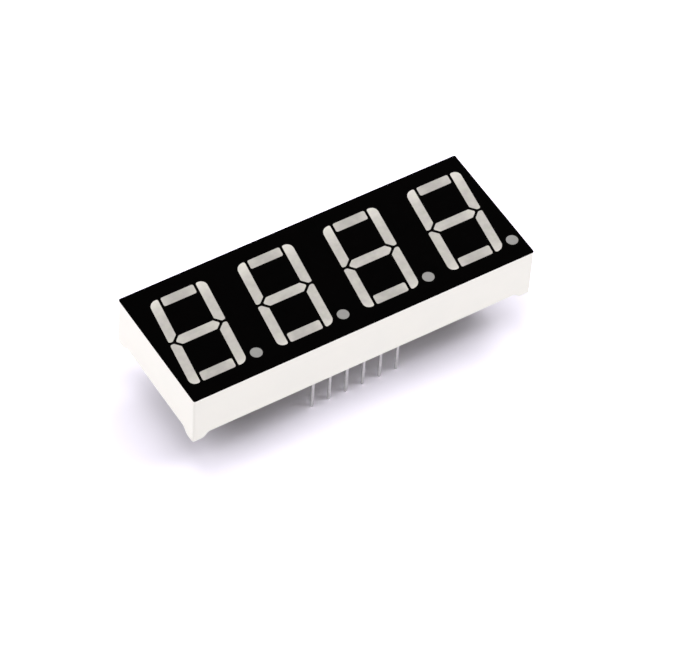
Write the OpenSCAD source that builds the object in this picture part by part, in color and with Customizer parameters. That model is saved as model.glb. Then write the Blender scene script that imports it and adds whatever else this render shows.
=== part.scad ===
// Four-digit seven segment display module, standing on its pins.
// X runs along the row of digits, Y points to the top of the digits and Z up.
// The origin is the middle of the box, in the plane of the pin tips.

/* [Body] */
// Height of the body, from the feet to the face
body_h = 8; // [6:0.1:12]
// Distance from the middle of an outer digit to the end of the body
body_end = 6.1; // [5.8:0.1:12]
// Thickness of the side walls around the board
wall = 1; // [0.6:0.05:1.5]
// Radius of the upright outer edges
edge_r = 0.3; // [0.1:0.05:1]
// Height of the corner feet below the rim of the walls
foot_h = 0.8; // [0.3:0.05:1.5]
// Flat of a foot beyond the inner side of the wall
foot_flat = 0.35; // [0.05:0.05:1]
// Run of the curve from a foot up to the rim
foot_run = 1.2; // [0.5:0.1:3]

/* [Digits] */
// Number of digits
digits = 4; // [3:1:4]
// Distance from one digit to the next
digit_pitch = 12.7; // [11.4:0.1:16]
// Height of a digit
digit_h = 14.2; // [11:0.1:17.2]
// Width of a digit, across its upright segments
digit_w = 8.2; // [7.8:0.1:8.6]
// Lean of the digits, in degrees
slant = 8; // [0:0.5:9]
// Width of the upright segments
stroke = 1.35; // [1.25:0.05:1.7]
// Width of the lying segments
bar = 1.45; // [1:0.05:1.8]
// Length of the middle segment, from point to point
middle_l = 6.4; // [5.5:0.02:6.8]
// Gap between neighbouring segments
segment_gap = 0.38; // [0.2:0.02:0.5]
// Gap between an upper and a lower upright segment
middle_gap = 0.38; // [0.2:0.01:0.5]
// Radius of the outer corners of a digit
corner_r = 1; // [0.4:0.05:1.1]
// Radius of all other corners of the segments
small_r = 0.22; // [0.05:0.01:0.3]

/* [Decimal points] */
// Diameter of a decimal point on the face
point_d = 1.6; // [1.2:0.05:1.8]
// Diameter of its well at the board
point_foot_d = 1.5; // [1.3:0.05:1.6]
// Place of a decimal point to the right of the middle of its digit
point_x = 4.7; // [4.5:0.05:4.9]
// Place of its well at the board, to the right of the middle of its digit
point_foot_x = 4; // [3.6:0.05:4.2]
// Place of a decimal point below the middle of its digit
point_y = 6.4; // [5.5:0.05:7]

/* [Light wells] */
// Length of a segment's well at the board
window_l = 2.6; // [1.6:0.1:3.4]
// Width of a segment's well at the board
window_w = 1.2; // [0.8:0.05:1.3]
// Thickness of the black ink on the face
ink_t = 0.05; // [0.03:0.01:0.2]

/* [Circuit board] */
// Thickness of the circuit board
board_t = 1; // [0.6:0.1:1.6]
// Clearance between the edge of the board and the walls
board_gap = 0.15; // [0.05:0.05:0.3]
// Thickness of the epoxy under the board
potting_t = 1.1; // [0.8:0.1:2]
// Depth of the epoxy inside the rim of the walls
potting_recess = 0.4; // [0.1:0.05:1]
// Thickness of the copper on the board
copper_t = 0.05; // [0.03:0.01:0.1]
// Width of a copper track
track_w = 0.4; // [0.2:0.05:0.6]
// Distance between neighbouring copper tracks
track_pitch = 1.6; // [1.2:0.1:2]
// Diameter of the copper pad at the end of a track
via_d = 0.9; // [0.6:0.1:1.1]

/* [Pins] */
// Number of pins in a row
row_pins = 6; // [2:2:6]
// Distance from one pin to the next
pin_pitch = 2.54; // [2:0.01:3.1]
// Distance between the two rows of pins
row_spacing = 15.24; // [12.7:0.01:20.32]
// Distance from a row of pins to the wall beside it
pin_inset = 0.88; // [0.8:0.01:3]
// Diameter of a pin
pin_d = 0.5; // [0.4:0.02:0.7]
// Step from a pin to its thicker shank inside the body
shank_step = 0.05; // [0.02:0.01:0.1]
// Length of the pins below the feet
pin_drop = 6.3; // [2:0.1:12]
// Bevel at the tip of a pin
pin_bevel = 0.06; // [0.02:0.01:0.12]
// Clearance between the shank of a pin and its hole in the board
hole_gap = 0.1; // [0.05:0.01:0.2]
// Height of a solder fillet
solder_h = 0.34; // [0.2:0.02:0.5]
// Thickness of a solder fillet at its thin edges
solder_edge = 0.05; // [0.02:0.01:0.1]
// Rim of copper round a solder fillet
copper_rim = 0.05; // [0.02:0.01:0.1]

/* [Light sources] */
// Side of a square light chip
chip_side = 0.26; // [0.2:0.01:0.35]
// Height of a light chip
chip_h = 0.2; // [0.1:0.01:0.3]
// Side of the copper pad under a chip and under the end of its wire
pad_side = 0.42; // [0.36:0.01:0.46]
// Distance from the middle of a well to a chip and to the end of its wire
chip_offset = 0.33; // [0.28:0.01:0.36]
// Thickness of a bond wire
wire_t = 0.04; // [0.02:0.01:0.06]
// Height of a bond wire above the chip
wire_rise = 0.3; // [0.15:0.05:0.6]

/* [Hidden] */
$fn = 48;
cut = 1;
foot_steps = 12;
wire_steps = 9;
point_sides = 36;

feet_z = pin_drop;
rim_z = feet_z + foot_h;
face_z = feet_z + body_h;
potting_z = rim_z + potting_recess;
board_z = potting_z + potting_t;
board_top = board_z + board_t;
chip_z = board_top + copper_t;
wire_z = chip_z + chip_h;
solder_z = board_z - copper_t;

body_l = (digits - 1) * digit_pitch + 2 * body_end;
body_w = row_spacing + 2 * (pin_inset + wall);
cavity_l = body_l - 2 * wall;
cavity_w = body_w - 2 * wall;
foot_tip = wall + foot_flat;
pins = 2 * row_pins;
shank_r = pin_d / 2 + shank_step;
hole_r = shank_r + hole_gap;
solder_r = shank_r + solder_h;
track_end = (digits - 1) / 2 * digit_pitch;

half_w = digit_w / 2;
half_h = digit_h / 2;
inner_x = half_w - stroke;
bar_end = inner_x - segment_gap;
middle_tip = middle_l / 2;
bevel_sum = middle_tip + segment_gap * sqrt(2);

letters = ["a", "b", "c", "d", "e", "f", "g"];
places = len(letters) + 1;

function digit_name(d, what) = str("digit_", d + 1, "_", what);
function place_name(d, s) =
    digit_name(d, s < len(letters) ? str("segment_", letters[s]) : "decimal_point");
function pin_name(i) = str("pin_", i + 1);
function chips_name(d) = str("led_chips_digit_", d + 1);
function wires_name(d) = str("bond_wires_digit_", d + 1);

// Middle of a digit on the face
function digit_at(d) = [(d - (digits - 1) / 2) * digit_pitch, 0];

// A point of an upright digit, leaned over
function lean(p) = [p.x + p.y * tan(slant), p.y];

// A convex outline of corners [x, y, radius], with each corner rounded by its own radius
function unit(v) = v / norm(v);
function rounded(corners) = [
    for (i = [0 : len(corners) - 1])
    let (n = len(corners), p = corners[i], before = corners[(i + n - 1) % n],
         after = corners[(i + 1) % n], corner = [p.x, p.y],
         u = unit([before.x, before.y] - corner), v = unit([after.x, after.y] - corner),
         opening = acos(u * v), centre = corner + unit(u + v) * p[2] / sin(opening / 2),
         start = corner + u * p[2] / tan(opening / 2) - centre,
         first = atan2(start.y, start.x), steps = max(2, ceil(6 * p[2])))
    for (k = [0 : steps])
    let (turn = first + (180 - opening) * k / steps)
    centre + p[2] * [cos(turn), sin(turn)]
];

// An outline mirrored to another quarter of the digit, still running anticlockwise
function mirrored(corners, sx, sy) =
    [for (i = [0 : len(corners) - 1])
     let (p = corners[sx * sy > 0 ? i : len(corners) - 1 - i]) [sx * p.x, sy * p.y, p[2]]];

// Corners of the segments of an upright digit
upright = [
    [inner_x, half_h, small_r],
    [inner_x, bevel_sum - inner_x, small_r],
    [bevel_sum - middle_gap / 2, middle_gap / 2, small_r],
    [half_w, middle_gap / 2, small_r],
    [half_w, half_h, corner_r]
];
lying = [
    [-bar_end, half_h - bar, small_r],
    [bar_end, half_h - bar, small_r],
    [bar_end, half_h, small_r],
    [-bar_end, half_h, small_r]
];
middle = [
    [-middle_tip, 0, small_r],
    [-middle_tip + bar / 2, -bar / 2, small_r],
    [middle_tip - bar / 2, -bar / 2, small_r],
    [middle_tip, 0, small_r],
    [middle_tip - bar / 2, bar / 2, small_r],
    [-middle_tip + bar / 2, bar / 2, small_r]
];
segment_corners = [
    lying,
    upright,
    mirrored(upright, 1, -1),
    mirrored(lying, 1, -1),
    mirrored(upright, -1, -1),
    mirrored(upright, -1, 1),
    middle
];

// Middle of each segment of an upright digit, and its size along X and Y
upright_x = half_w - stroke / 2;
upright_y = (half_h + middle_gap / 2) / 2;
upright_size = [stroke, half_h - middle_gap / 2];
lying_y = half_h - bar / 2;
segment_middle = [
    [0, lying_y],
    [upright_x, upright_y],
    [upright_x, -upright_y],
    [0, -lying_y],
    [-upright_x, -upright_y],
    [-upright_x, upright_y],
    [0, 0]
];
lying_size = [2 * bar_end, bar];
middle_size = [middle_l, bar];
segment_size = [
    lying_size, upright_size, upright_size, lying_size, upright_size, upright_size, middle_size
];

// Middle of a well on the board: the segments come first, then the decimal point
function well_at(d, s) =
    digit_at(d) + (s < len(letters) ? lean(segment_middle[s]) : [point_foot_x, -point_y]);

// Direction in which the chip and its wire lie: along the segment
function well_turn(s) = s < len(letters) && segment_size[s].y > segment_size[s].x ? 90 : 0;

// Outline of a well at the face and at the board
function segment_at_face(d, s) =
    [for (p = rounded(segment_corners[s])) digit_at(d) + lean(p)];
function segment_at_board(d, s) =
    let (size = segment_size[s], middle_at = segment_middle[s],
         window = size.x > size.y ? [window_l, window_w] : [window_w, window_l],
         share = [window.x / size.x, window.y / size.y])
    [for (p = rounded(segment_corners[s]))
     let (from_middle = p - middle_at)
     digit_at(d) + lean(middle_at + [from_middle.x * share.x, from_middle.y * share.y])];
function point_outline(d, x, diameter) =
    [for (k = [0 : point_sides - 1])
     let (turn = 360 * k / point_sides)
     digit_at(d) + [x, -point_y] + diameter / 2 * [cos(turn), sin(turn)]];

// Solid between two outlines with the same number of points
module loft(low, z_low, high, z_high) {
    n = len(low);
    polyhedron(
        points = concat([for (p = low) [p.x, p.y, z_low]], [for (p = high) [p.x, p.y, z_high]]),
        faces = concat(
            [[for (i = [0 : n - 1]) i]],
            [[for (i = [n - 1 : -1 : 0]) n + i]],
            [for (i = [0 : n - 1]) let (j = (i + 1) % n) [i, n + i, j]],
            [for (i = [0 : n - 1]) let (j = (i + 1) % n) [j, n + i, n + j]]
        )
    );
}

// The room of one light well, from the board up to the face
module well(d, s) {
    if (s < len(letters))
        loft(segment_at_board(d, s), board_top, segment_at_face(d, s), face_z);
    else
        loft(point_outline(d, point_foot_x, point_foot_d), board_top,
             point_outline(d, point_x, point_d), face_z);
}

module wells() {
    for (d = [0 : digits - 1])
        for (s = [0 : places - 1])
            well(d, s);
}

module slab(z_low, z_high) {
    translate([0, 0, z_low])
    linear_extrude(z_high - z_low)
    children();
}

module rounded_rectangle(l, w, r) {
    square([l - 2 * r, w], center = true);
    square([l, w - 2 * r], center = true);
    for (x = [-1, 1])
        for (y = [-1, 1])
            translate([x * (l / 2 - r), y * (w / 2 - r)])
            circle(r);
}

// Side view of the opening between two feet, for a wall of the given length
module foot_opening(length) {
    foot_x = length / 2 - foot_tip;
    curve = [
        for (i = [0 : foot_steps])
        let (t = i / foot_steps)
        [foot_x - foot_run * t, feet_z + foot_h * (1 - cos(180 * t)) / 2]
    ];
    polygon(concat(
        [[-foot_x, feet_z - cut], [foot_x, feet_z - cut]],
        curve,
        [for (i = [foot_steps : -1 : 0]) [-curve[i].x, curve[i].y]]
    ));
}

module reflector_housing() {
    color([0.945, 0.935, 0.915])
    difference() {
        slab(feet_z, face_z - ink_t)
            rounded_rectangle(body_l, body_w, edge_r);
        slab(feet_z - cut, board_top)
            square([cavity_l, cavity_w], center = true);
        rotate([90, 0, 0])
            slab(-body_w / 2 - cut, body_w / 2 + cut)
            foot_opening(body_l);
        rotate([90, 0, 90])
            slab(-body_l / 2 - cut, body_l / 2 + cut)
            foot_opening(body_w);
        wells();
    }
}

module face_ink() {
    color([0.03, 0.03, 0.035])
    difference() {
        slab(face_z - ink_t, face_z)
            rounded_rectangle(body_l, body_w, edge_r);
        wells();
    }
}

// Middle of a pin: the first row runs from left to right at the foot of the digits,
// and the second row runs back
function pin_at(i) =
    let (k = i % row_pins, x = (k - (row_pins - 1) / 2) * pin_pitch)
    i < row_pins ? [x, -row_spacing / 2] : [-x, row_spacing / 2];

module at_pins() {
    for (i = [0 : pins - 1])
        translate(pin_at(i))
        children();
}

module board_outline() {
    square([cavity_l - 2 * board_gap, cavity_w - 2 * board_gap], center = true);
}

module circuit_board() {
    color([0.16, 0.38, 0.24])
    slab(board_z, board_top)
    difference() {
        board_outline();
        at_pins() circle(hole_r);
    }
}

// The two square pads of one well
module well_pads() {
    for (side = [-1, 1])
        translate([side * chip_offset, 0])
        square(pad_side, center = true);
}

module in_well(d, s) {
    translate([well_at(d, s).x, well_at(d, s).y, 0])
    rotate(well_turn(s))
    children();
}

// A track runs from its pin towards the middle of the board and then outwards
module track(k) {
    x = (k + 0.5) * pin_pitch;
    y = row_spacing / 2;
    lane_y = y - track_pitch * (row_pins / 2 - k);
    translate([x - track_w / 2, lane_y - track_w / 2])
        square([track_w, y - lane_y + track_w / 2]);
    translate([x, lane_y - track_w / 2])
        square([track_end - x, track_w]);
    translate([track_end, lane_y])
        circle(d = via_d);
}

module underside_copper() {
    difference() {
        intersection() {
            board_outline();
            union() {
                at_pins() circle(solder_r + copper_rim);
                for (side = [0, 1])
                    for (row = [0, 1])
                        for (k = [0 : row_pins / 2 - 1])
                            mirror([side, 0]) mirror([0, row]) track(k);
            }
        }
        at_pins() circle(hole_r);
    }
}

module board_copper() {
    color([0.72, 0.45, 0.2]) {
        slab(solder_z, board_z) underside_copper();
        for (d = [0 : digits - 1])
            for (s = [0 : places - 1])
                in_well(d, s) slab(board_top, chip_z) well_pads();
    }
}

// Section of a solder joint: a sleeve in the hole and a hollow fillet below the copper
module solder_section() {
    translate([shank_r, solder_z])
        square([hole_gap, board_top - solder_z]);
    difference() {
        translate([shank_r, solder_z - solder_h])
            square(solder_h);
        translate([solder_r, solder_z - solder_h])
            circle(solder_h - solder_edge);
    }
}

module solder_joints() {
    color([0.78, 0.79, 0.8])
    at_pins()
        rotate_extrude() solder_section();
}

module back_potting() {
    color([0.86, 0.84, 0.76])
    difference() {
        slab(potting_z, board_top)
            square([cavity_l, cavity_w], center = true);
        slab(board_z, board_top + cut)
            board_outline();
        slab(solder_z, board_z)
            underside_copper();
        at_pins()
            rotate_extrude() {
                translate([0, potting_z - cut])
                    square([shank_r, board_top - potting_z + cut]);
                solder_section();
            }
    }
}

// A pin is a straight round wire below the rim and a slightly thicker shank above it
module pin(i) {
    color([0.8, 0.8, 0.82])
    translate(pin_at(i)) {
        cylinder(h = pin_bevel, d1 = pin_d - 2 * pin_bevel, d2 = pin_d);
        translate([0, 0, pin_bevel])
            cylinder(h = rim_z - shank_step - pin_bevel, d = pin_d);
        translate([0, 0, rim_z - shank_step])
            cylinder(h = shank_step, r1 = pin_d / 2, r2 = shank_r);
        translate([0, 0, rim_z])
            cylinder(h = board_top - rim_z, r = shank_r);
    }
}

module chip() {
    translate([-chip_offset, 0, 0])
    slab(chip_z, wire_z)
    square(chip_side, center = true);
}

// A bond wire rises from the chip and comes down on the other pad
module bond_wire() {
    function arch(reach, rise, i) =
        let (turn = 180 * i / wire_steps, along = (1 - cos(turn)) / 2)
        [-reach * cos(turn), wire_z - chip_h * along + rise * sin(turn)];
    half_t = wire_t / 2;
    rotate([90, 0, 0])
    linear_extrude(wire_t, center = true)
    polygon(concat(
        [for (i = [0 : wire_steps]) arch(chip_offset + half_t, wire_rise + half_t, i)],
        [for (i = [wire_steps : -1 : 0]) arch(chip_offset - half_t, wire_rise - half_t, i)]
    ));
}

module led_chips(d) {
    color([0.85, 0.82, 0.55])
    for (s = [0 : places - 1])
        in_well(d, s) chip();
}

module bond_wires(d) {
    color([0.9, 0.72, 0.3])
    for (s = [0 : places - 1])
        in_well(d, s) bond_wire();
}

// Milky resin in one well, cast around its chip, wire and pads
module resin(d, s) {
    color([0.83, 0.82, 0.78])
    difference() {
        well(d, s);
        in_well(d, s) {
            slab(board_top, chip_z) well_pads();
            chip();
            bond_wire();
        }
    }
}

reflector_housing();
face_ink();
circuit_board();
board_copper();
back_potting();
solder_joints();
for (d = [0 : digits - 1]) {
    for (s = [0 : places - 1])
        resin(d, s);
    led_chips(d);
    bond_wires(d);
}
for (i = [0 : pins - 1])
    pin(i);
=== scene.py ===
"""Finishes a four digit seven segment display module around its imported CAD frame.

The frame gives every size and place. This file adds the cast resin in the light wells, the
tinned pins and the epoxy on the back as worked out surfaces, softens the lower edges of the
moulded housing, gives every piece its finish, and sets up a pale studio.
"""

import math

import bmesh
import bpy
import numpy as np
from bpy.props import (
    FloatProperty,
    FloatVectorProperty,
    IntProperty,
    PointerProperty,
)
from mathutils import Matrix, Vector


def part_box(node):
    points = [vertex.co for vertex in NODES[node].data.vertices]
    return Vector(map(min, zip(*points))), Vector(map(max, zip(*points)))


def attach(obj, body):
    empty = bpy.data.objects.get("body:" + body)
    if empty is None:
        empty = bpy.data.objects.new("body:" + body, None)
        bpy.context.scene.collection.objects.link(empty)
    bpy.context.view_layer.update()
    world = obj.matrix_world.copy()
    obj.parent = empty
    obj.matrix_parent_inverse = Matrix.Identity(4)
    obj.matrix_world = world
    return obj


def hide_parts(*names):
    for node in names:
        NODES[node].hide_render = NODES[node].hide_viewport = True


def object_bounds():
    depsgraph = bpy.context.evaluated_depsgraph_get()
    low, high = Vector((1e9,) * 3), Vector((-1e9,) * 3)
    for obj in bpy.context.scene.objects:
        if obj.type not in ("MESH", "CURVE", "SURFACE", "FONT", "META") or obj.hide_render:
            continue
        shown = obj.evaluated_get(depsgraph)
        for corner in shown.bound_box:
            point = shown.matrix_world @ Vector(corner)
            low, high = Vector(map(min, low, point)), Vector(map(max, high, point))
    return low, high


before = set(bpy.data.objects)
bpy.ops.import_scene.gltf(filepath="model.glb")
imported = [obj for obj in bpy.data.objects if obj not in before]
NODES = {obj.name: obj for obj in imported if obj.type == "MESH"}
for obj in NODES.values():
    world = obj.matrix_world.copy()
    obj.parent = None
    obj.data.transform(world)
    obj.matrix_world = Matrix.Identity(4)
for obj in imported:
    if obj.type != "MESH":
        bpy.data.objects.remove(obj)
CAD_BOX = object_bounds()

bl_info = {
    "name": "Seven segment display module",
    "version": (1, 0, 0),
    "blender": (4, 5, 0),
    "location": "View3D > Sidebar > Display",
    "description": "Casts, pins, potting, finishes and studio of a four digit display module",
    "category": "Object",
}

MM = 0.001
TOUCH = 0.001 * MM
BLACK = (0, 0, 0)
UPRIGHTS = "bcef"
LETTERS = "abcdefg"
DIGITS = sum(name.endswith("_decimal_point") for name in NODES)
PIN_COUNT = sum(name.startswith("pin_") for name in NODES)
CHIP_NODES = [name for name in NODES if name.startswith("led_chips_")]
WIRE_NODES = [name for name in NODES if name.startswith("bond_wires_")]


# ---------------------------------------------------------------- places read from the frame


def vertex_places(node):
    """All vertices of a CAD node, as rows of x, y and z."""
    vertices = NODES[node].data.vertices
    places = np.empty(3 * len(vertices), np.float32)
    vertices.foreach_get("co", places)
    return places.reshape(-1, 3).astype(float)


def level_outline(node, level):
    """Corners of a CAD node's convex outline at one height, anticlockwise.

    They are sorted by the angle at which each is seen from their mean point.
    """
    places = vertex_places(node)
    flat = places[np.abs(places[:, 2] - level) < TOUCH, :2]
    corners = np.unique(np.round(flat / TOUCH), axis=0) * TOUCH
    from_mean = corners - corners.mean(axis=0)
    return corners[np.argsort(np.arctan2(from_mean[:, 1], from_mean[:, 0]))]


def box_of(places):
    """Lowest and highest corner of an array of points."""
    return places.min(axis=0), places.max(axis=0)


def node_middle(node):
    """Middle of a CAD node's box."""
    low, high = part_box(node)
    return (low + high) / 2


def digit_lean():
    """How far a digit leans to the right for each unit of height, from its top and bottom bars."""
    rise = node_middle("digit_1_segment_a") - node_middle("digit_1_segment_d")
    return rise.x / rise.y


# ---------------------------------------------------------------- surfaces

# An edge at which two faces turn by more than this is shaded as a crease.
CREASE_ANGLE = math.radians(40)


def evenly_traced(outline, count):
    """The closed outline with its own corners and about count evenly spaced points between them.

    A spaced point nearer to a corner than a third of the spacing is left out.
    """
    closed = np.vstack([outline, outline[:1]])
    sides = np.hypot(*np.diff(closed, axis=0).T)
    reached = np.concatenate([[0], np.cumsum(sides)])
    spaced = np.linspace(0, reached[-1], count, endpoint=False)
    spacing = reached[-1] / count
    clear = np.abs(spaced[:, None] - reached[None, :]).min(axis=1) > spacing / 3
    wanted = np.sort(np.concatenate([reached[:-1], spaced[clear]]))
    return np.column_stack([np.interp(wanted, reached, closed[:, axis]) for axis in (0, 1)])


def finish_mesh(name, vertices, faces):
    """A new object at the origin from arrays, shaded smooth except over creases."""
    mesh = bpy.data.meshes.new(name)
    mesh.from_pydata(vertices.tolist(), [], faces)
    mesh.update()
    mesh.shade_smooth()
    mesh.set_sharp_from_angle(angle=CREASE_ANGLE)
    piece = bpy.data.objects.new(name, mesh)
    bpy.context.scene.collection.objects.link(piece)
    return piece


def ringed_surface(name, rings):
    """A closed surface of rings that run anticlockwise, seen from above, from its top to its foot.

    rings is an array of rows, columns and coordinates. All points of the first row are one pole,
    and all points of the last row are the other, so the ends are fans and the rest is quads.
    """
    rows, columns = rings.shape[:2]
    belt = rings[1:-1].reshape(-1, 3)
    vertices = np.vstack([rings[:1, 0], belt, rings[-1:, 0]])
    along = np.arange(columns)
    after = (along + 1) % columns
    last = len(vertices) - 1
    foot = 1 + (rows - 3) * columns
    starts = 1 + columns * np.arange(rows - 3)[:, None]
    quads = np.stack(
        [starts + along, starts + columns + along, starts + columns + after, starts + after],
        axis=-1,
    ).reshape(-1, 4)
    top_fan = np.stack([0 * along, 1 + along, 1 + after], axis=-1)
    foot_fan = np.stack([last + 0 * along, foot + after, foot + along], axis=-1)
    faces = top_fan.tolist() + quads.tolist() + foot_fan.tolist()
    return finish_mesh(name, vertices, faces)


def slab_surface(name, lower, upper):
    """A closed slab between two grids of the same shape, one below the other.

    Each grid has rows along Y and columns along X. Quads join neighbouring points of a grid, and
    a band of quads joins the rims of the two grids.
    """
    rows, columns = lower.shape[:2]
    vertices = np.vstack([lower.reshape(-1, 3), upper.reshape(-1, 3)])
    index = np.arange(rows * columns).reshape(rows, columns)
    corner, beside = index[:-1, :-1], index[:-1, 1:]
    above, across = index[1:, :-1], index[1:, 1:]
    seen_from_above = np.stack([corner, beside, across, above], axis=-1).reshape(-1, 4)
    rim = np.concatenate([index[0, :-1], index[:-1, -1], index[-1, :0:-1], index[:0:-1, 0]])
    rim_after = np.roll(rim, -1)
    shift = rows * columns
    band = np.stack([rim, rim_after, rim_after + shift, rim + shift], axis=-1)
    faces = np.vstack([seen_from_above[:, ::-1], seen_from_above + shift, band])
    return finish_mesh(name, vertices, faces.tolist())


def point_attribute(piece, name, values):
    """Stores one number for each vertex, for the piece's material to read."""
    attribute = piece.data.attributes.new(name, "FLOAT", "POINT")
    attribute.data.foreach_set("value", values.astype(np.float32))


def place_piece(piece, slot, material, *stood_for):
    """Gives a finished piece its material and its body, and hides the CAD nodes that it stands
    for. The slot is not used.
    """
    piece.data.materials.clear()
    piece.data.materials.append(material)
    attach(piece, "root")
    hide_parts(*stood_for)


def finish_nodes(material, *names):
    """Puts one material on CAD nodes that keep their own shape."""
    for name in names:
        for slot in NODES[name].material_slots:
            slot.material = material


# ---------------------------------------------------------------- casts, pins and potting

# Rings of points on the face of a cast, from its middle to its rim, and on its wall. The rim
# counts in both.
FACE_RINGS = 9
WALL_RINGS = 6

# Painted light in the diffuser of an upright segment, as bright as light coming back through the
# resin: in its middle, what both ends add, and what the end away from the waist adds, with the
# power of the distance by which that sets in.
UPRIGHT_MIDDLE = 0.25
UPRIGHT_ENDS = 0.1
UPPER_GAIN, UPPER_ONSET = 0.62, 1.2
LOWER_GAIN, LOWER_ONSET = 0.47, 4

# The same painted light for a bar: in its middle at the waist, what both ends add, and the painted
# highlight that the right end adds and the left one loses.
BAR_AT_WAIST = 0.18
BAR_ENDS = 0.38
BAR_RIGHT_END = 0.05

# Rings of points on the rounded tip and on the stem of a pin, with the one where they meet in
# both, and points in each ring.
TIP_RINGS = 7
STEM_RINGS = 60
PIN_COLUMNS = 32

# The phase that each pin adds to its skin, and the skin's waves: radians for each mm of height,
# radians for each radian round the pin, and how many times the phase counts.
SKIN_PHASE = 2.4
SKIN_WAVES = ((1.9, 1, 1), (3.1, -2, 2), (5.3, 3, 0))

# The epoxy's slow waves along X and along Y: length for each radian, and phase at the origin.
SWELL_X, SWELL_X_PHASE = 5.1 * MM, 0.7
SWELL_Y, SWELL_Y_PHASE = 3.7 * MM, 1.9

# Faces that turn by less than the flat angle are joined before edges are softened. A softened
# piece has a crease angle of its own, and each softened edge is rounded in this many steps.
FLAT_ANGLE = math.radians(0.5)
SOFT_CREASE_ANGLE = math.radians(30)
SOFT_EDGE_STEPS = 3


def resin_cast(name, node, dish, steps):
    """The resin that fills one light well, from the face down to the board.

    A point at the share s of the way from the middle of the face to the outline lies dish times
    (1 - s squared) squared below the face, so the surface is hollow in the middle and flush with
    the ink at the rim. Below the rim each point runs straight to its place on the outline of the
    window at the board. That outline is the upper one stretched along X and Y, while both stand
    upright.
    """
    low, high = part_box(node)
    upright = np.array([[1, 0], [-digit_lean(), 1]])
    leaning = np.linalg.inv(upright)
    face = evenly_traced(level_outline(node, high.z), steps) @ upright
    window = level_outline(node, low.z) @ upright
    face_low, face_high = box_of(face)
    window_low, window_high = box_of(window)
    share_at_board = (window_high - window_low) / (face_high - face_low)
    foot = (window_low + window_high) / 2 + share_at_board * (face - (face_low + face_high) / 2)
    face, foot = face @ leaning, foot @ leaning
    middle, foot_middle = face.mean(axis=0), foot.mean(axis=0)

    shares = np.linspace(0, 1, FACE_RINGS)
    top = middle + shares[:, None, None] * (face - middle)
    top_z = high.z - dish * (1 - shares**2) ** 2
    depths = np.linspace(0, 1, WALL_RINGS)[1:]
    wall = face + depths[:, None, None] * (foot - face)
    wall_z = high.z + depths * (low.z - high.z)
    flat = np.concatenate([top, wall, np.broadcast_to(foot_middle, (1, *face.shape))])
    heights = np.concatenate([top_z, wall_z, [low.z]])
    rings = np.dstack([flat, np.broadcast_to(heights[:, None], flat.shape[:2])])
    return ringed_surface(name, rings)


def painted_cast_glow(piece, node, digit_low, digit_high):
    """Painted light: how bright the diffuser looks at each vertex of a segment, from 0 to 1.

    It grows with the square of the distance from the middle along the segment. In an upright
    segment it grows most towards the top or the foot of the digit, where the white wall of the
    well shows through, and sooner in the upper ones. A bar is brighter the nearer it lies to the
    waist, and at its right end, where the brightness is a painted highlight.
    """
    low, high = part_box(node)
    places = np.empty(3 * len(piece.data.vertices), np.float32)
    piece.data.vertices.foreach_get("co", places)
    places = places.reshape(-1, 3).astype(float)
    axis = 1 if node[-1] in UPRIGHTS else 0
    along = (places[:, axis] - (low[axis] + high[axis]) / 2) / ((high - low)[axis] / 2)
    waist = (digit_low.y + digit_high.y) / 2
    height = ((low.y + high.y) / 2 - waist) / ((digit_high.y - digit_low.y) / 2)
    if axis == 1:
        outward = np.maximum(along * math.copysign(1, height), 0)
        upper = height > 0
        gain, onset = (UPPER_GAIN, UPPER_ONSET) if upper else (LOWER_GAIN, LOWER_ONSET)
        return UPRIGHT_MIDDLE + UPRIGHT_ENDS * along**2 + gain * outward**onset
    return BAR_AT_WAIST * (1 - abs(height)) + BAR_ENDS * along**2 + BAR_RIGHT_END * along


def tinned_pin(name, node, looks, number):
    """A round pin, turned about its own axis from the shank in the board down to its tip.

    Below the shank its radius is that of the CAD pin, less an uneven skin: a share of the radius
    from 0 to ripple, which follows the mean of three sines of the height and the angle. The tip
    is rounded as a quarter of a circle.
    """
    places = vertex_places(node)
    low, high = box_of(places)
    middle = (low + high) / 2
    radii = np.hypot(places[:, 0] - middle[0], places[:, 1] - middle[1])
    shank_r = radii.max()
    seen = places[:, 2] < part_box("reflector_housing")[0].z
    wire_r = radii[seen].max()
    shank_z = places[radii > shank_r - TOUCH, 2].min()
    step_z = shank_z - (shank_r - wire_r)

    tip = looks.tip_rounding
    turns = np.linspace(0, math.pi / 2, TIP_RINGS)
    tip_z, tip_r = tip * (1 - np.cos(turns)), (wire_r - tip) + tip * np.sin(turns)
    stem_z = np.linspace(tip, step_z, STEM_RINGS)[1:]
    heights = np.concatenate([[0, 0], tip_z[1:], stem_z, [shank_z, high[2], high[2]]])
    radius = np.concatenate(
        [[0, wire_r - tip], tip_r[1:], np.full(len(stem_z), wire_r), [shank_r, shank_r, 0]]
    )
    heights, radius = heights[::-1], radius[::-1]
    z = heights[:, None] / MM
    a = np.linspace(0, 2 * math.pi, PIN_COLUMNS, endpoint=False)[None, :]
    phase = SKIN_PHASE * number
    skin = sum(
        np.sin(climb * z + turn * a + times * phase) for climb, turn, times in SKIN_WAVES
    )
    shown = (heights < shank_z)[:, None]
    r = radius[:, None] * (1 - looks.ripple * shown * (1 + skin / len(SKIN_WAVES)) / 2)
    x = middle[0] + r * np.cos(a)
    y = middle[1] + r * np.sin(a)
    rings = np.dstack([x, y, low[2] + np.broadcast_to(heights[:, None], x.shape)])
    return ringed_surface(name, rings)


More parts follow.
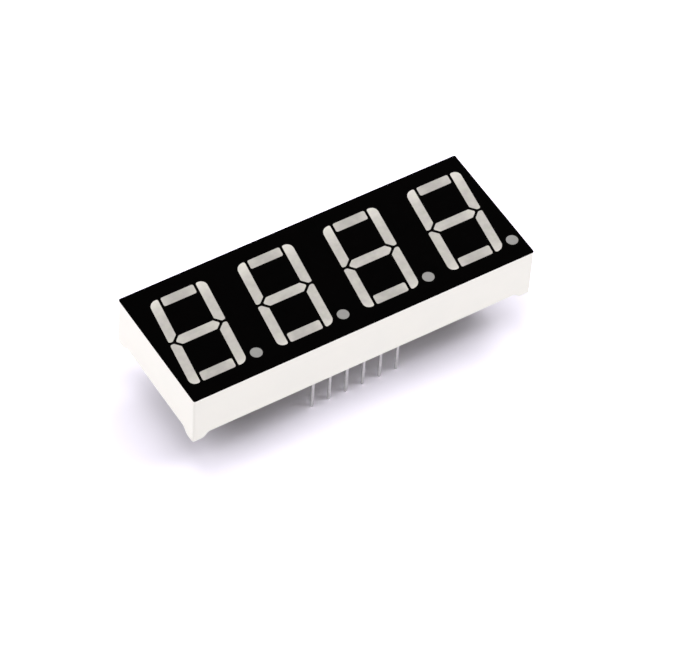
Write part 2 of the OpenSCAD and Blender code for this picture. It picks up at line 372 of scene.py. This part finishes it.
def potting_fill(name, looks):
    """The epoxy under the board, with the surface that it sets to in the upturned housing.

    The surface lies level, swells by a slow product of sines, and creeps towards the rim by
    creep times exp(-distance / reach) at the walls, and by a share of that round each pin.
    """
    low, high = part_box("back_potting")
    board_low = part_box("circuit_board")[0]
    columns = round((high.x - low.x) / looks.mesh_size) + 1
    rows = round((high.y - low.y) / looks.mesh_size) + 1
    x, y = np.meshgrid(np.linspace(low.x, high.x, columns), np.linspace(low.y, high.y, rows))
    to_wall = np.minimum(
        np.minimum(x - low.x, high.x - x),
        np.minimum(y - low.y, high.y - y),
    )
    rise = looks.creep * np.exp(-to_wall / looks.creep_reach)
    for number in range(PIN_COUNT):
        pin_low, pin_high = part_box(f"pin_{number + 1}")
        centre = (pin_low + pin_high) / 2
        to_pin = np.hypot(x - centre.x, y - centre.y) - (pin_high.x - pin_low.x) / 2
        rise += looks.pin_creep * np.exp(-np.maximum(to_pin, 0) / looks.pin_creep_reach)
    swell = np.sin(x / SWELL_X + SWELL_X_PHASE) * np.sin(y / SWELL_Y + SWELL_Y_PHASE)
    surface_z = low.z - rise - looks.swell * (1 + swell) / 2
    lower = np.dstack([x, y, surface_z])
    upper = np.dstack([x, y, np.full_like(x, board_low.z)])
    return slab_surface(name, lower, upper)


def softened_copy(name, node, is_edge_softened, radius):
    """A merged copy of a CAD node in which the chosen edges are rounded.

    is_edge_softened takes the two end points of a crease. The loose triangles are merged and
    the flat ones joined first, so that only real edges are left to choose from.
    """
    mesh = NODES[node].data.copy()
    mesh.name = name
    form = bmesh.new()
    form.from_mesh(mesh)
    bmesh.ops.remove_doubles(form, verts=form.verts, dist=TOUCH)
    bmesh.ops.dissolve_limit(
        form, angle_limit=FLAT_ANGLE, verts=form.verts, edges=form.edges
    )
    weights = form.edges.layers.float.new("bevel_weight_edge")
    for edge in form.edges:
        is_crease = edge.is_manifold and edge.calc_face_angle() > CREASE_ANGLE
        if is_crease and is_edge_softened(edge.verts[0].co, edge.verts[1].co):
            edge[weights] = 1
    form.to_mesh(mesh)
    form.free()
    mesh.shade_smooth()
    mesh.set_sharp_from_angle(angle=SOFT_CREASE_ANGLE)
    piece = bpy.data.objects.new(name, mesh)
    bpy.context.scene.collection.objects.link(piece)
    bevel = piece.modifiers.new("soft edges", "BEVEL")
    bevel.limit_method = "WEIGHT"
    bevel.width = radius
    bevel.segments = SOFT_EDGE_STEPS
    return piece


# ---------------------------------------------------------------- materials

# Nearly all of a noise pattern lies between these values.
NOISE_LOW, NOISE_HIGH = 0.3, 0.7

# Width of the patches of cream and blush in the resin, as a share of the cloudy ones.
TINT_PATCH_SHARE = 0.8

# Darker tone of the decimal points, as a share of their colour.
POINT_SHADE = 0.94

# The wave texture draws about three bands in a unit of length. The distortion bends them a little.
BANDS_IN_UNIT = 3
WEAVE_DISTORTION = 0.6


class Finish:
    """A material with a Principled shader, and short ways to add the nodes of its pattern."""

    def __init__(self, name, **sockets):
        self.material = bpy.data.materials.new(name)
        self.material.use_nodes = True
        self.tree = self.material.node_tree
        self.shader = self.tree.nodes["Principled BSDF"]
        self.output = self.tree.nodes["Material Output"]
        self.coordinates = self.add("ShaderNodeTexCoord").outputs["Object"]
        for socket, value in sockets.items():
            self.shader.inputs[socket.replace("_", " ")].default_value = value

    def add(self, kind, **values):
        """Adds a node and sets its properties."""
        node = self.tree.nodes.new(kind)
        for name, value in values.items():
            setattr(node, name, value)
        return node

    def join(self, source, target):
        """Links a value or an output socket to an input socket."""
        if isinstance(source, bpy.types.NodeSocket):
            self.tree.links.new(source, target)
        else:
            target.default_value = source

    def noise(self, size, detail=3.0, stretch=None):
        """A noise pattern whose patches are about size metres across."""
        node = self.add("ShaderNodeTexNoise")
        node.inputs["Scale"].default_value = 1 / size
        node.inputs["Detail"].default_value = detail
        coordinates = self.coordinates
        if stretch is not None:
            mapping = self.add("ShaderNodeMapping")
            mapping.inputs["Scale"].default_value = stretch
            self.tree.links.new(coordinates, mapping.inputs["Vector"])
            coordinates = mapping.outputs["Vector"]
        self.tree.links.new(coordinates, node.inputs["Vector"])
        return node.outputs["Fac"]

    def spread(self, pattern, low=0, high=1):
        """Maps a noise pattern to the range from low to high."""
        node = self.add("ShaderNodeMapRange")
        for socket, source in (
            ("Value", pattern),
            ("From Min", NOISE_LOW),
            ("From Max", NOISE_HIGH),
            ("To Min", low),
            ("To Max", high),
        ):
            self.join(source, node.inputs[socket])
        return node.outputs["Result"]

    def around(self, pattern, middle, swing):
        """Maps a noise pattern to the range of swing below and above a middle value."""
        return self.spread(pattern, middle - swing, middle + swing)

    def toned(self, pattern, first, factor):
        """A colour that runs to factor times itself where a noise pattern is high."""
        return self.blend(self.spread(pattern), first, shaded(first, factor))

    def math(self, operation, first, second):
        """One step of arithmetic on values or sockets."""
        node = self.add("ShaderNodeMath", operation=operation)
        self.join(first, node.inputs[0])
        self.join(second, node.inputs[1])
        return node.outputs[0]

    def blend(self, factor, first, second, kind="MIX"):
        """A mix of two colours by a factor."""
        node = self.add("ShaderNodeMix", data_type="RGBA", blend_type=kind)
        self.join(factor, node.inputs["Factor"])
        self.join(opaque(first), node.inputs["A"])
        self.join(opaque(second), node.inputs["B"])
        return node.outputs["Result"]

    def relief(self, height, depth):
        """Bump of a pattern, depth metres from its lowest to its highest point."""
        node = self.add("ShaderNodeBump")
        node.inputs["Distance"].default_value = depth
        self.tree.links.new(height, node.inputs["Height"])
        return node.outputs["Normal"]

    def use(self, **sockets):
        """Links patterns to the shader's sockets."""
        for name, source in sockets.items():
            self.tree.links.new(source, self.shader.inputs[name.replace("_", " ")])
        return self.material


def opaque(colour):
    """A colour of three numbers as four, and a socket as it is."""
    return colour if isinstance(colour, bpy.types.NodeSocket) else (*colour[:3], 1)


def shaded(colour, factor):
    """A colour made darker or lighter by one factor."""
    return tuple(factor * channel for channel in colour[:3])


def moulded_plastic(looks):
    """Satin white plastic: the spark grain of the mould, and a slow drift in tone and sheen."""
    finish = Finish("moulded_white_plastic", IOR=1.5)
    drift = finish.spread(finish.noise(size=6 * MM, detail=2))
    base = finish.blend(drift, looks.plastic_colour, looks.plastic_shade)
    sheen = finish.around(finish.noise(size=1.5 * MM), looks.plastic_roughness, swing=0.05)
    normal = finish.relief(finish.noise(looks.grain_size, detail=4), looks.grain_depth)
    return finish.use(Base_Color=base, Roughness=sheen, Normal=normal)


def printed_ink(looks):
    """Deep black matt ink with the fine orange peel of a thick print."""
    finish = Finish("black_face_ink", Specular_IOR_Level=looks.ink_gloss)
    base = finish.toned(finish.noise(size=2.5 * MM), looks.ink_colour, factor=1.6)
    sheen = finish.around(finish.noise(size=0.8 * MM), looks.ink_roughness, swing=0.06)
    normal = finish.relief(finish.noise(looks.peel_size), looks.peel_depth)
    return finish.use(Base_Color=base, Roughness=sheen, Normal=normal)


def diffusing_resin(name, looks, light_colour, shade_colour, paints_glow):
    """Epoxy full of a fine white diffuser, mottled in two tones.

    Where it is asked for, the painted glow that the piece stores at each vertex paints light into
    the resin: lit away from its light chip, and painted shade over it.
    """
    finish = Finish(name, Specular_IOR_Level=looks.resin_gloss)
    level = finish.around(finish.noise(looks.mottle_size, detail=2), 0, looks.mottle)
    if paints_glow:
        painted_glow = finish.add("ShaderNodeAttribute", attribute_name="painted_glow").outputs["Fac"]
        level = finish.math("ADD", level, painted_glow)
    # Painted light: the stored glow, together with the random mottle, mixes the shaded and lit
    # tones.
    mottle_and_painted_light = finish.blend(level, shade_colour, light_colour)
    warmth = finish.spread(finish.noise(TINT_PATCH_SHARE * looks.mottle_size, detail=2))
    tint = finish.blend(warmth, looks.cream, looks.blush)
    tinted = finish.blend(1.0, mottle_and_painted_light, tint, "MULTIPLY")
    specks = finish.spread(finish.noise(looks.speck_size, detail=2), high=looks.speck)
    base = finish.blend(specks, tinted, BLACK)
    sheen = finish.around(finish.noise(size=0.6 * MM), looks.resin_roughness, swing=0.05)
    normal = finish.relief(finish.noise(looks.speck_size), looks.resin_relief)
    return finish.use(Base_Color=base, Roughness=sheen, Normal=normal)


def tinned_metal(looks):
    """Bright tin over steel wire: faint draw lines along the pin, and duller patches."""
    finish = Finish("tinned_wire", Metallic=1.0)
    draw_lines = finish.noise(size=0.09 * MM, detail=2, stretch=(1, 1, 0.04))
    patches = finish.noise(size=0.5 * MM)
    base = finish.toned(patches, looks.tin_colour, factor=0.86)
    bright, dull = looks.tin_roughness - 0.06, looks.tin_roughness + 0.1
    sheen = finish.spread(patches, bright, dull)
    normal = finish.relief(draw_lines, depth=0.004 * MM)
    return finish.use(Base_Color=base, Roughness=sheen, Normal=normal)


def clouded_epoxy(looks):
    """Milky epoxy: a glossy skin over a haze through which the board shows faintly."""
    finish = Finish("milky_epoxy", Coat_Weight=0.5, Coat_Roughness=0.06, Roughness=0.25)
    cloud = finish.noise(size=4 * MM)
    base = finish.toned(cloud, looks.epoxy_colour, factor=0.93)
    haze = finish.around(cloud, looks.epoxy_haze, swing=0.06)
    normal = finish.relief(finish.noise(size=2.2 * MM, detail=1), depth=0.01 * MM)
    return finish.use(Base_Color=base, Alpha=haze, Normal=normal)


def fibreglass_laminate(looks):
    """Solder masked glass laminate, with the weave of the cloth showing through."""
    finish = Finish("fibreglass_laminate", Roughness=0.4)
    waves = []
    for direction in ("X", "Y"):
        wave = finish.add("ShaderNodeTexWave", bands_direction=direction)
        wave.inputs["Scale"].default_value = 1 / looks.weave_pitch / BANDS_IN_UNIT
        wave.inputs["Distortion"].default_value = WEAVE_DISTORTION
        finish.tree.links.new(finish.coordinates, wave.inputs["Vector"])
        waves.append(wave.outputs["Fac"])
    weave = finish.math("MULTIPLY", *waves)
    base = finish.blend(weave, looks.board_colour, shaded(looks.board_colour, factor=1.25))
    normal = finish.relief(weave, depth=0.01 * MM)
    return finish.use(Base_Color=base, Normal=normal)


def etched_copper(looks):
    """Copper foil, a little browned in patches."""
    finish = Finish("etched_copper", Metallic=1.0)
    tarnish = finish.noise(size=0.9 * MM, detail=4)
    base = finish.toned(tarnish, looks.copper_colour, factor=0.7)
    sheen = finish.spread(tarnish, low=0.22, high=0.42)
    normal = finish.relief(finish.noise(size=0.12 * MM), depth=0.003 * MM)
    return finish.use(Base_Color=base, Roughness=sheen, Normal=normal)


def set_solder(looks):
    """Solder with the faint grain that it sets to."""
    finish = Finish("bright_solder", Metallic=1.0)
    grain = finish.noise(size=0.15 * MM, detail=4)
    base = finish.toned(grain, looks.solder_colour, factor=0.8)
    sheen = finish.spread(grain, low=0.18, high=0.34)
    normal = finish.relief(grain, depth=0.006 * MM)
    return finish.use(Base_Color=base, Roughness=sheen, Normal=normal)


def cut_crystal(looks):
    """A sawn light chip: a waxy crystal with fine saw marks on its sides."""
    finish = Finish("light_chip_crystal")
    marks = finish.noise(size=0.03 * MM, stretch=(1, 1, 5))
    base = finish.toned(marks, looks.chip_colour, factor=0.75)
    sheen = finish.spread(marks, low=0.15, high=0.35)
    normal = finish.relief(marks, depth=0.002 * MM)
    return finish.use(Base_Color=base, Roughness=sheen, Normal=normal)


def drawn_gold(looks):
    """Fine gold wire with its drawn skin."""
    finish = Finish("bond_wire_gold", Metallic=1.0)
    skin = finish.noise(size=0.02 * MM, detail=2)
    base = finish.toned(skin, looks.wire_colour, factor=0.85)
    sheen = finish.spread(skin, low=0.15, high=0.3)
    normal = finish.relief(skin, depth=0.001 * MM)
    return finish.use(Base_Color=base, Roughness=sheen, Normal=normal)


def studio_paper(looks):
    """Matt white paper that shows white wherever no shadow falls, and nothing from below."""
    finish = Finish("studio_paper")
    paper = finish.add("ShaderNodeBsdfDiffuse")
    path = finish.add("ShaderNodeLightPath").outputs
    mirrored = finish.math("MAXIMUM", path["Is Glossy Ray"], path["Is Transmission Ray"])
    lit = finish.blend(mirrored, looks.paper_colour, looks.paper_mirrored)
    seen = finish.blend(path["Is Camera Ray"], lit, looks.paper_shown)
    finish.join(seen, paper.inputs["Color"])
    glass = finish.add("ShaderNodeBsdfTransparent")
    below = finish.math(
        "MULTIPLY",
        finish.add("ShaderNodeNewGeometry").outputs["Backfacing"],
        path["Is Camera Ray"],
    )
    side = finish.add("ShaderNodeMixShader")
    for socket, source in zip(side.inputs, (below, paper.outputs[0], glass.outputs[0])):
        finish.join(source, socket)
    finish.join(side.outputs[0], finish.output.inputs["Surface"])
    finish.tree.nodes.remove(finish.shader)
    return finish.material


# ---------------------------------------------------------------- settings


def length(name, description, default):
    """A length that a user may change."""
    return FloatProperty(
        name=name,
        description=description,
        default=default,
        min=0.0,
        precision=6,
        subtype="DISTANCE",
        unit="LENGTH",
    )


def share(name, description, default):
    """A share from 0 to 1 that a user may change."""
    return FloatProperty(
        name=name, description=description, default=default, min=0.0, max=1.0, subtype="FACTOR"
    )


def colour(name, description, default):
    """A colour that a user may change."""
    return FloatVectorProperty(
        name=name, description=description, default=default, size=3, min=0.0, subtype="COLOR"
    )


def angle(name, description, degrees):
    """An angle that a user may change."""
    return FloatProperty(
        name=name, description=description, default=math.radians(degrees), subtype="ANGLE"
    )


class HousingSettings(bpy.types.PropertyGroup):
    """The white reflector housing and the black ink on its face."""

    edge_radius: length("Edge radius", "Rounding of the moulding's lower edges", 0.07 * MM)
    plastic_colour: colour("Plastic", "Lighter tone of the plastic", (0.915, 0.882, 0.845))
    plastic_shade: colour("Plastic shade", "Darker tone of the plastic", (0.895, 0.868, 0.835))
    plastic_roughness: share("Plastic roughness", "Mean roughness of the moulding", 0.42)
    grain_size: length("Grain size", "Width of the mould's grain", 0.16 * MM)
    grain_depth: length("Grain depth", "Depth of the mould's grain", 0.004 * MM)
    ink_colour: colour("Ink", "Colour of the face ink", (0.0004, 0.0003, 0.0003))
    ink_roughness: share("Ink roughness", "Mean roughness of the ink", 0.5)
    ink_gloss: share("Ink gloss", "Strength of the ink's reflection", 0.004)
    peel_size: length("Orange peel size", "Width of the waves in the ink", 0.35 * MM)
    peel_depth: length("Orange peel depth", "Depth of the waves in the ink", 0.004 * MM)


class ResinSettings(bpy.types.PropertyGroup):
    """The casts in the light wells."""

    dish: length("Dish", "Hollow in the middle of a cast", 0.02 * MM)
    outline_steps: IntProperty(
        name="Outline steps", description="Points round the outline of a cast", default=96, min=24
    )
    # A lit and a shaded tone of the resin, which the painted glow mixes as painted light.
    resin_light: colour("Resin", "Colour at the ends of a segment", (0.749, 0.727, 0.68))
    resin_shade: colour("Resin shade", "Colour over the light chip", (0.43, 0.417, 0.395))
    point_colour: colour("Point resin", "Colour of a decimal point", (0.305, 0.302, 0.298))
    cream: colour("Cream", "Tint of the yellower patches", (1.0, 1.0, 0.95))
    blush: colour("Blush", "Tint of the pinker patches", (0.985, 0.95, 0.965))
    mottle_size: length("Mottle size", "Width of the cloudy patches", 0.9 * MM)
    mottle: share("Mottle", "Strength of the cloudy patches", 0.12)
    speck_size: length("Speck size", "Width of the diffuser's specks", 0.12 * MM)
    speck: share("Speck", "Strength of the diffuser's specks", 0.04)
    resin_roughness: share("Roughness", "Mean roughness of the casts", 0.45)
    resin_gloss: share("Gloss", "Strength of the casts' reflection", 0.3)
    resin_relief: length("Relief", "Depth of the grain of the casts", 0.003 * MM)


class PinSettings(bpy.types.PropertyGroup):
    """The pins."""

    tip_rounding: length("Tip rounding", "Rounding at the tip of a pin", 0.1 * MM)
    ripple: share("Ripple", "Unevenness of the tin, as a share of the radius", 0.012)
    tin_colour: colour("Tin", "Colour of the tinned wire", (0.7, 0.695, 0.7))
    tin_roughness: share("Roughness", "Mean roughness of the tin", 0.34)


class BackSettings(bpy.types.PropertyGroup):
    """The epoxy on the back and what shows through it."""

    mesh_size: length("Mesh size", "Distance between points of the epoxy's surface", 0.13 * MM)
    creep: length("Creep", "Rise of the epoxy at the walls", 0.22 * MM)
    creep_reach: length("Creep reach", "Distance in which that rise fades", 0.45 * MM)
    pin_creep: length("Pin creep", "Rise of the epoxy at a pin", 0.16 * MM)
    pin_creep_reach: length("Pin creep reach", "Distance in which that rise fades", 0.3 * MM)
    swell: length("Swell", "Slow waves of the epoxy's surface", 0.03 * MM)
    epoxy_colour: colour("Epoxy", "Colour of the epoxy", (0.42, 0.42, 0.36))
    epoxy_haze: share("Haze", "How far the epoxy hides the board", 0.55)
    board_colour: colour("Board", "Colour of the laminate", (0.26, 0.33, 0.16))
    weave_pitch: length("Weave pitch", "Distance between the threads of the laminate", 0.5 * MM)
    copper_colour: colour("Copper", "Colour of the copper", (0.78, 0.44, 0.27))
    solder_colour: colour("Solder", "Colour of the solder", (0.72, 0.73, 0.75))


class LightSourceSettings(bpy.types.PropertyGroup):
    """The light chips and their bond wires inside the casts."""

    chip_colour: colour("Chip", "Colour of the chips", (0.62, 0.55, 0.22))
    wire_colour: colour("Wire", "Colour of the bond wires", (1.0, 0.72, 0.3))


class StudioSettings(bpy.types.PropertyGroup):
    """The floor, the lamps and the camera."""

    floor_side: length("Floor", "Side of the paper on the table", 6.0)
    paper_colour: colour("Paper", "Colour of the paper as it lights the module", (0.5, 0.5, 0.5))
    paper_shown: colour("Paper shown", "Colour of the paper as it shows", (1.364, 1.31, 1.46))
    paper_mirrored: colour("Paper mirrored", "Its colour in metal and glass", (1.1, 1.06, 1.14))
    sky_strength: share("Sky", "Strength of the light from all sides", 0.0)
    lamp_distance: length("Lamp distance", "From the lamps to the module", 2.5)
    target: FloatVectorProperty(
        name="Target",
        description="Point that the camera looks at",
        default=(0.00012, -0.00361, 0.0076),
        size=3,
        subtype="TRANSLATION",
        unit="LENGTH",
    )
    distance: length("Distance", "From the camera to its target", 0.5343)
    azimuth: angle("Azimuth", "Turn of the camera round the module", -34.71)
    elevation: angle("Elevation", "Height of the camera above the horizon", 50.28)
    roll: angle("Roll", "Turn of the camera about its own axis", 4.23)
    lens: FloatProperty(
        name="Lens", description="Focal length", default=221.1, min=1.0, subtype="DISTANCE_CAMERA"
    )


class DisplaySettings(bpy.types.PropertyGroup):
    """All settings of the display module."""

    housing: PointerProperty(type=HousingSettings)
    resin: PointerProperty(type=ResinSettings)
    pins: PointerProperty(type=PinSettings)
    back: PointerProperty(type=BackSettings)
    light_sources: PointerProperty(type=LightSourceSettings)
    studio: PointerProperty(type=StudioSettings)


# ---------------------------------------------------------------- operators


class DISPLAY_OT_soften_housing(bpy.types.Operator):
    """Rounds the lower edges of the housing and gives it its plastic"""

    bl_idname = "display.soften_housing"
    bl_label = "Reflector housing"

    def execute(self, context):
        looks = context.scene.segment_display.housing
        board_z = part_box("circuit_board")[0].z

        def below_face(first, second):
            return max(first.z, second.z) < board_z

        piece = softened_copy(
            "moulded_housing", "reflector_housing", below_face, looks.edge_radius
        )
        place_piece(piece, "housing", moulded_plastic(looks), "reflector_housing")
        return {"FINISHED"}


class DISPLAY_OT_print_face(bpy.types.Operator):
    """Gives the face its black ink"""

    bl_idname = "display.print_face"
    bl_label = "Face ink"

    def execute(self, context):
        looks = context.scene.segment_display.housing
        finish_nodes(printed_ink(looks), "face_ink")
        return {"FINISHED"}


class DISPLAY_OT_cast_segments(bpy.types.Operator):
    """Casts the resin of all segments"""

    bl_idname = "display.cast_segments"
    bl_label = "Segments"

    def execute(self, context):
        looks = context.scene.segment_display.resin
        # The segment resin carries painted light: lit towards its ends, painted shade over its
        # chip.
        material = diffusing_resin(
            "segment_resin_cast", looks, looks.resin_light, looks.resin_shade, True
        )
        for digit in range(1, DIGITS + 1):
            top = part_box(f"digit_{digit}_segment_a")[1]
            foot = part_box(f"digit_{digit}_segment_d")[0]
            for letter in LETTERS:
                node = f"digit_{digit}_segment_{letter}"
                piece = resin_cast(f"cast_{node}", node, looks.dish, looks.outline_steps)
                # Stores the painted light of the diffuser at each vertex.
                point_attribute(piece, "painted_glow", painted_cast_glow(piece, node, foot, top))
                place_piece(piece, "segment_resin", material, node)
        return {"FINISHED"}


class DISPLAY_OT_cast_points(bpy.types.Operator):
    """Casts the resin of all decimal points"""

    bl_idname = "display.cast_points"
    bl_label = "Decimal points"

    def execute(self, context):
        looks = context.scene.segment_display.resin
        shade = shaded(looks.point_colour, POINT_SHADE)
        material = diffusing_resin(
            "point_resin_cast", looks, looks.point_colour, shade, False
        )
        for digit in range(1, DIGITS + 1):
            node = f"digit_{digit}_decimal_point"
            piece = resin_cast(f"cast_{node}", node, looks.dish, looks.outline_steps)
            place_piece(piece, "point_resin", material, node)
        return {"FINISHED"}


class DISPLAY_OT_tin_pins(bpy.types.Operator):
    """Makes the tinned pins"""

    bl_idname = "display.tin_pins"
    bl_label = "Pins"

    def execute(self, context):
        looks = context.scene.segment_display.pins
        material = tinned_metal(looks)
        for number in range(1, PIN_COUNT + 1):
            node = f"pin_{number}"
            piece = tinned_pin(f"tinned_{node}", node, looks, number)
            place_piece(piece, "tinned_wire", material, node)
        return {"FINISHED"}


class DISPLAY_OT_pot_back(bpy.types.Operator):
    """Pours the epoxy on the back"""

    bl_idname = "display.pot_back"
    bl_label = "Back potting"

    def execute(self, context):
        looks = context.scene.segment_display.back
        piece = potting_fill("poured_potting", looks)
        place_piece(piece, "potting", clouded_epoxy(looks), "back_potting")
        return {"FINISHED"}


class DISPLAY_OT_finish_board(bpy.types.Operator):
    """Gives the circuit board, its copper and its solder their finishes"""

    bl_idname = "display.finish_board"
    bl_label = "Circuit board"

    def execute(self, context):
        looks = context.scene.segment_display.back
        finish_nodes(fibreglass_laminate(looks), "circuit_board")
        finish_nodes(etched_copper(looks), "board_copper")
        finish_nodes(set_solder(looks), "solder_joints")
        return {"FINISHED"}


class DISPLAY_OT_finish_light_sources(bpy.types.Operator):
    """Gives the light chips and their bond wires their finishes"""

    bl_idname = "display.finish_light_sources"
    bl_label = "Light chips and wires"

    def execute(self, context):
        looks = context.scene.segment_display.light_sources
        finish_nodes(cut_crystal(looks), *CHIP_NODES)
        finish_nodes(drawn_gold(looks), *WIRE_NODES)
        return {"FINISHED"}


class DISPLAY_OT_set_stage(bpy.types.Operator):
    """Lays the paper, lights the module and places the camera"""

    bl_idname = "display.set_stage"
    bl_label = "Studio"

    def execute(self, context):
        looks = context.scene.segment_display.studio
        lay_paper(looks)
        light_sky(context.scene, looks)
        for name, turn, height, width, tallness, given in LAMPS:
            turn, height = math.radians(turn), math.radians(height)
            hang_lamp(name, looks, turn, height, width, tallness, given)
        context.scene.camera = place_camera(looks)
        context.scene.view_settings.view_transform = "Standard"
        return {"FINISHED"}


# Each lamp's turn round the module and height above the horizon in degrees, its width and its
# tallness in metres, and the light that it gives the paper. At a sum of 1 the paper shows the
# colour that is set for it.
LAMPS = (
    ("left_softbox", -88, 50, 1.3, 1.3, 0.258),
    ("right_softbox", 60, 62, 1.2, 1.2, 0.214),
    ("low_right_softbox", 60, 50, 1.0, 1.0, 0.094),
    ("rear_softbox", 132, 42, 1.0, 1.0, 0.187),
    ("top_softbox", -160, 76, 1.3, 1.3, 0.296),
    ("left_table_lamp", -108, 2.2, 1.0, 0.15, 0.0244),
    ("front_table_lamp", 20, 2.5, 0.12, 0.1, 0.0273),
)

# Nearest and farthest distance that the camera sees.
CLIP_START, CLIP_END = 0.01, 20


def lay_paper(looks):
    """One square of paper at the level of the pin tips."""
    half = looks.floor_side / 2
    corners = np.array([(-half, -half, 0), (half, -half, 0), (half, half, 0), (-half, half, 0)])
    paper = finish_mesh("studio_floor", corners, [(0, 1, 2, 3)])
    paper.data.materials.append(studio_paper(looks))


def light_sky(scene, looks):
    """An even white sky, which shows as plain white."""
    world = bpy.data.worlds.new("studio_sky")
    world.use_nodes = True
    scene.world = world
    tree = world.node_tree
    sky = tree.nodes["Background"]
    sky.inputs["Color"].default_value = (1, 1, 1, 1)
    path = tree.nodes.new("ShaderNodeLightPath")
    socket = path.outputs["Is Camera Ray"]
    for other in ("Is Glossy Ray", "Is Transmission Ray"):
        either = tree.nodes.new("ShaderNodeMath")
        either.operation = "MAXIMUM"
        tree.links.new(socket, either.inputs[0])
        tree.links.new(path.outputs[other], either.inputs[1])
        socket = either.outputs[0]
    strength = tree.nodes.new("ShaderNodeMapRange")
    strength.inputs["To Min"].default_value = looks.sky_strength
    strength.inputs["To Max"].default_value = 1.0
    tree.links.new(socket, strength.inputs["Value"])
    tree.links.new(strength.outputs["Result"], sky.inputs["Strength"])


def towards(turn, height):
    """The direction from the module to a camera or lamp at this turn and height."""
    flat = math.cos(height)
    return Vector((math.sin(turn) * flat, -math.cos(turn) * flat, math.sin(height)))


def hang_lamp(name, looks, turn, height, width, tallness, given):
    """A lamp that faces the module and gives the paper a set amount of light.

    Its power is the light given, times pi squared and the distance squared, over the sine of its
    height above the horizon.
    """
    lamp = bpy.data.lights.new(name, "AREA")
    lamp.shape = "RECTANGLE"
    lamp.size, lamp.size_y = width, tallness
    lamp.energy = given * (math.pi * looks.lamp_distance) ** 2 / math.sin(height)
    stand = bpy.data.objects.new(name, lamp)
    away = towards(turn, height)
    stand.location = (CAD_BOX[0] + CAD_BOX[1]) / 2 + looks.lamp_distance * away
    stand.rotation_euler = (-away).to_track_quat("-Z", "Y").to_euler()
    bpy.context.scene.collection.objects.link(stand)


def place_camera(looks):
    """A camera on a sphere round its target, turned to face it and then rolled."""
    back = towards(looks.azimuth, looks.elevation)
    facing = (-back).to_track_quat("-Z", "Y").to_matrix() @ Matrix.Rotation(looks.roll, 3, "Z")
    eye = bpy.data.cameras.new("studio_camera")
    eye.lens = looks.lens
    eye.clip_start, eye.clip_end = CLIP_START, CLIP_END
    camera = bpy.data.objects.new("studio_camera", eye)
    camera.matrix_world = Matrix.Translation(
        Vector(looks.target) + looks.distance * back
    ) @ facing.to_4x4()
    bpy.context.scene.collection.objects.link(camera)
    return camera


class DISPLAY_PT_panel(bpy.types.Panel):
    """Lists the settings and steps of the display module"""

    bl_idname = "DISPLAY_PT_panel"
    bl_label = "Display module"
    bl_space_type = "VIEW_3D"
    bl_region_type = "UI"
    bl_category = "Display"

    def draw(self, context):
        for group_name, steps in STEPS.items():
            box = self.layout.box()
            group = getattr(context.scene.segment_display, group_name)
            for setting in group.bl_rna.properties.keys():
                if setting not in ("name", "rna_type"):
                    box.prop(group, setting)
            for step in steps:
                box.operator(step.bl_idname)


STEPS = {
    "housing": (DISPLAY_OT_soften_housing, DISPLAY_OT_print_face),
    "resin": (DISPLAY_OT_cast_segments, DISPLAY_OT_cast_points),
    "pins": (DISPLAY_OT_tin_pins,),
    "back": (DISPLAY_OT_pot_back, DISPLAY_OT_finish_board),
    "light_sources": (DISPLAY_OT_finish_light_sources,),
    "studio": (DISPLAY_OT_set_stage,),
}
OPERATORS = [step for steps in STEPS.values() for step in steps]
CLASSES = [
    HousingSettings,
    ResinSettings,
    PinSettings,
    BackSettings,
    LightSourceSettings,
    StudioSettings,
    DisplaySettings,
    *OPERATORS,
    DISPLAY_PT_panel,
]


def register():
    for cls in CLASSES:
        bpy.utils.register_class(cls)
    bpy.types.Scene.segment_display = PointerProperty(type=DisplaySettings)


def unregister():
    del bpy.types.Scene.segment_display
    for cls in reversed(CLASSES):
        bpy.utils.unregister_class(cls)


def main():
    register()
    for step in OPERATORS:
        group, name = step.bl_idname.split(".")
        getattr(getattr(bpy.ops, group), name)()


if __name__ == "__main__":
    main()
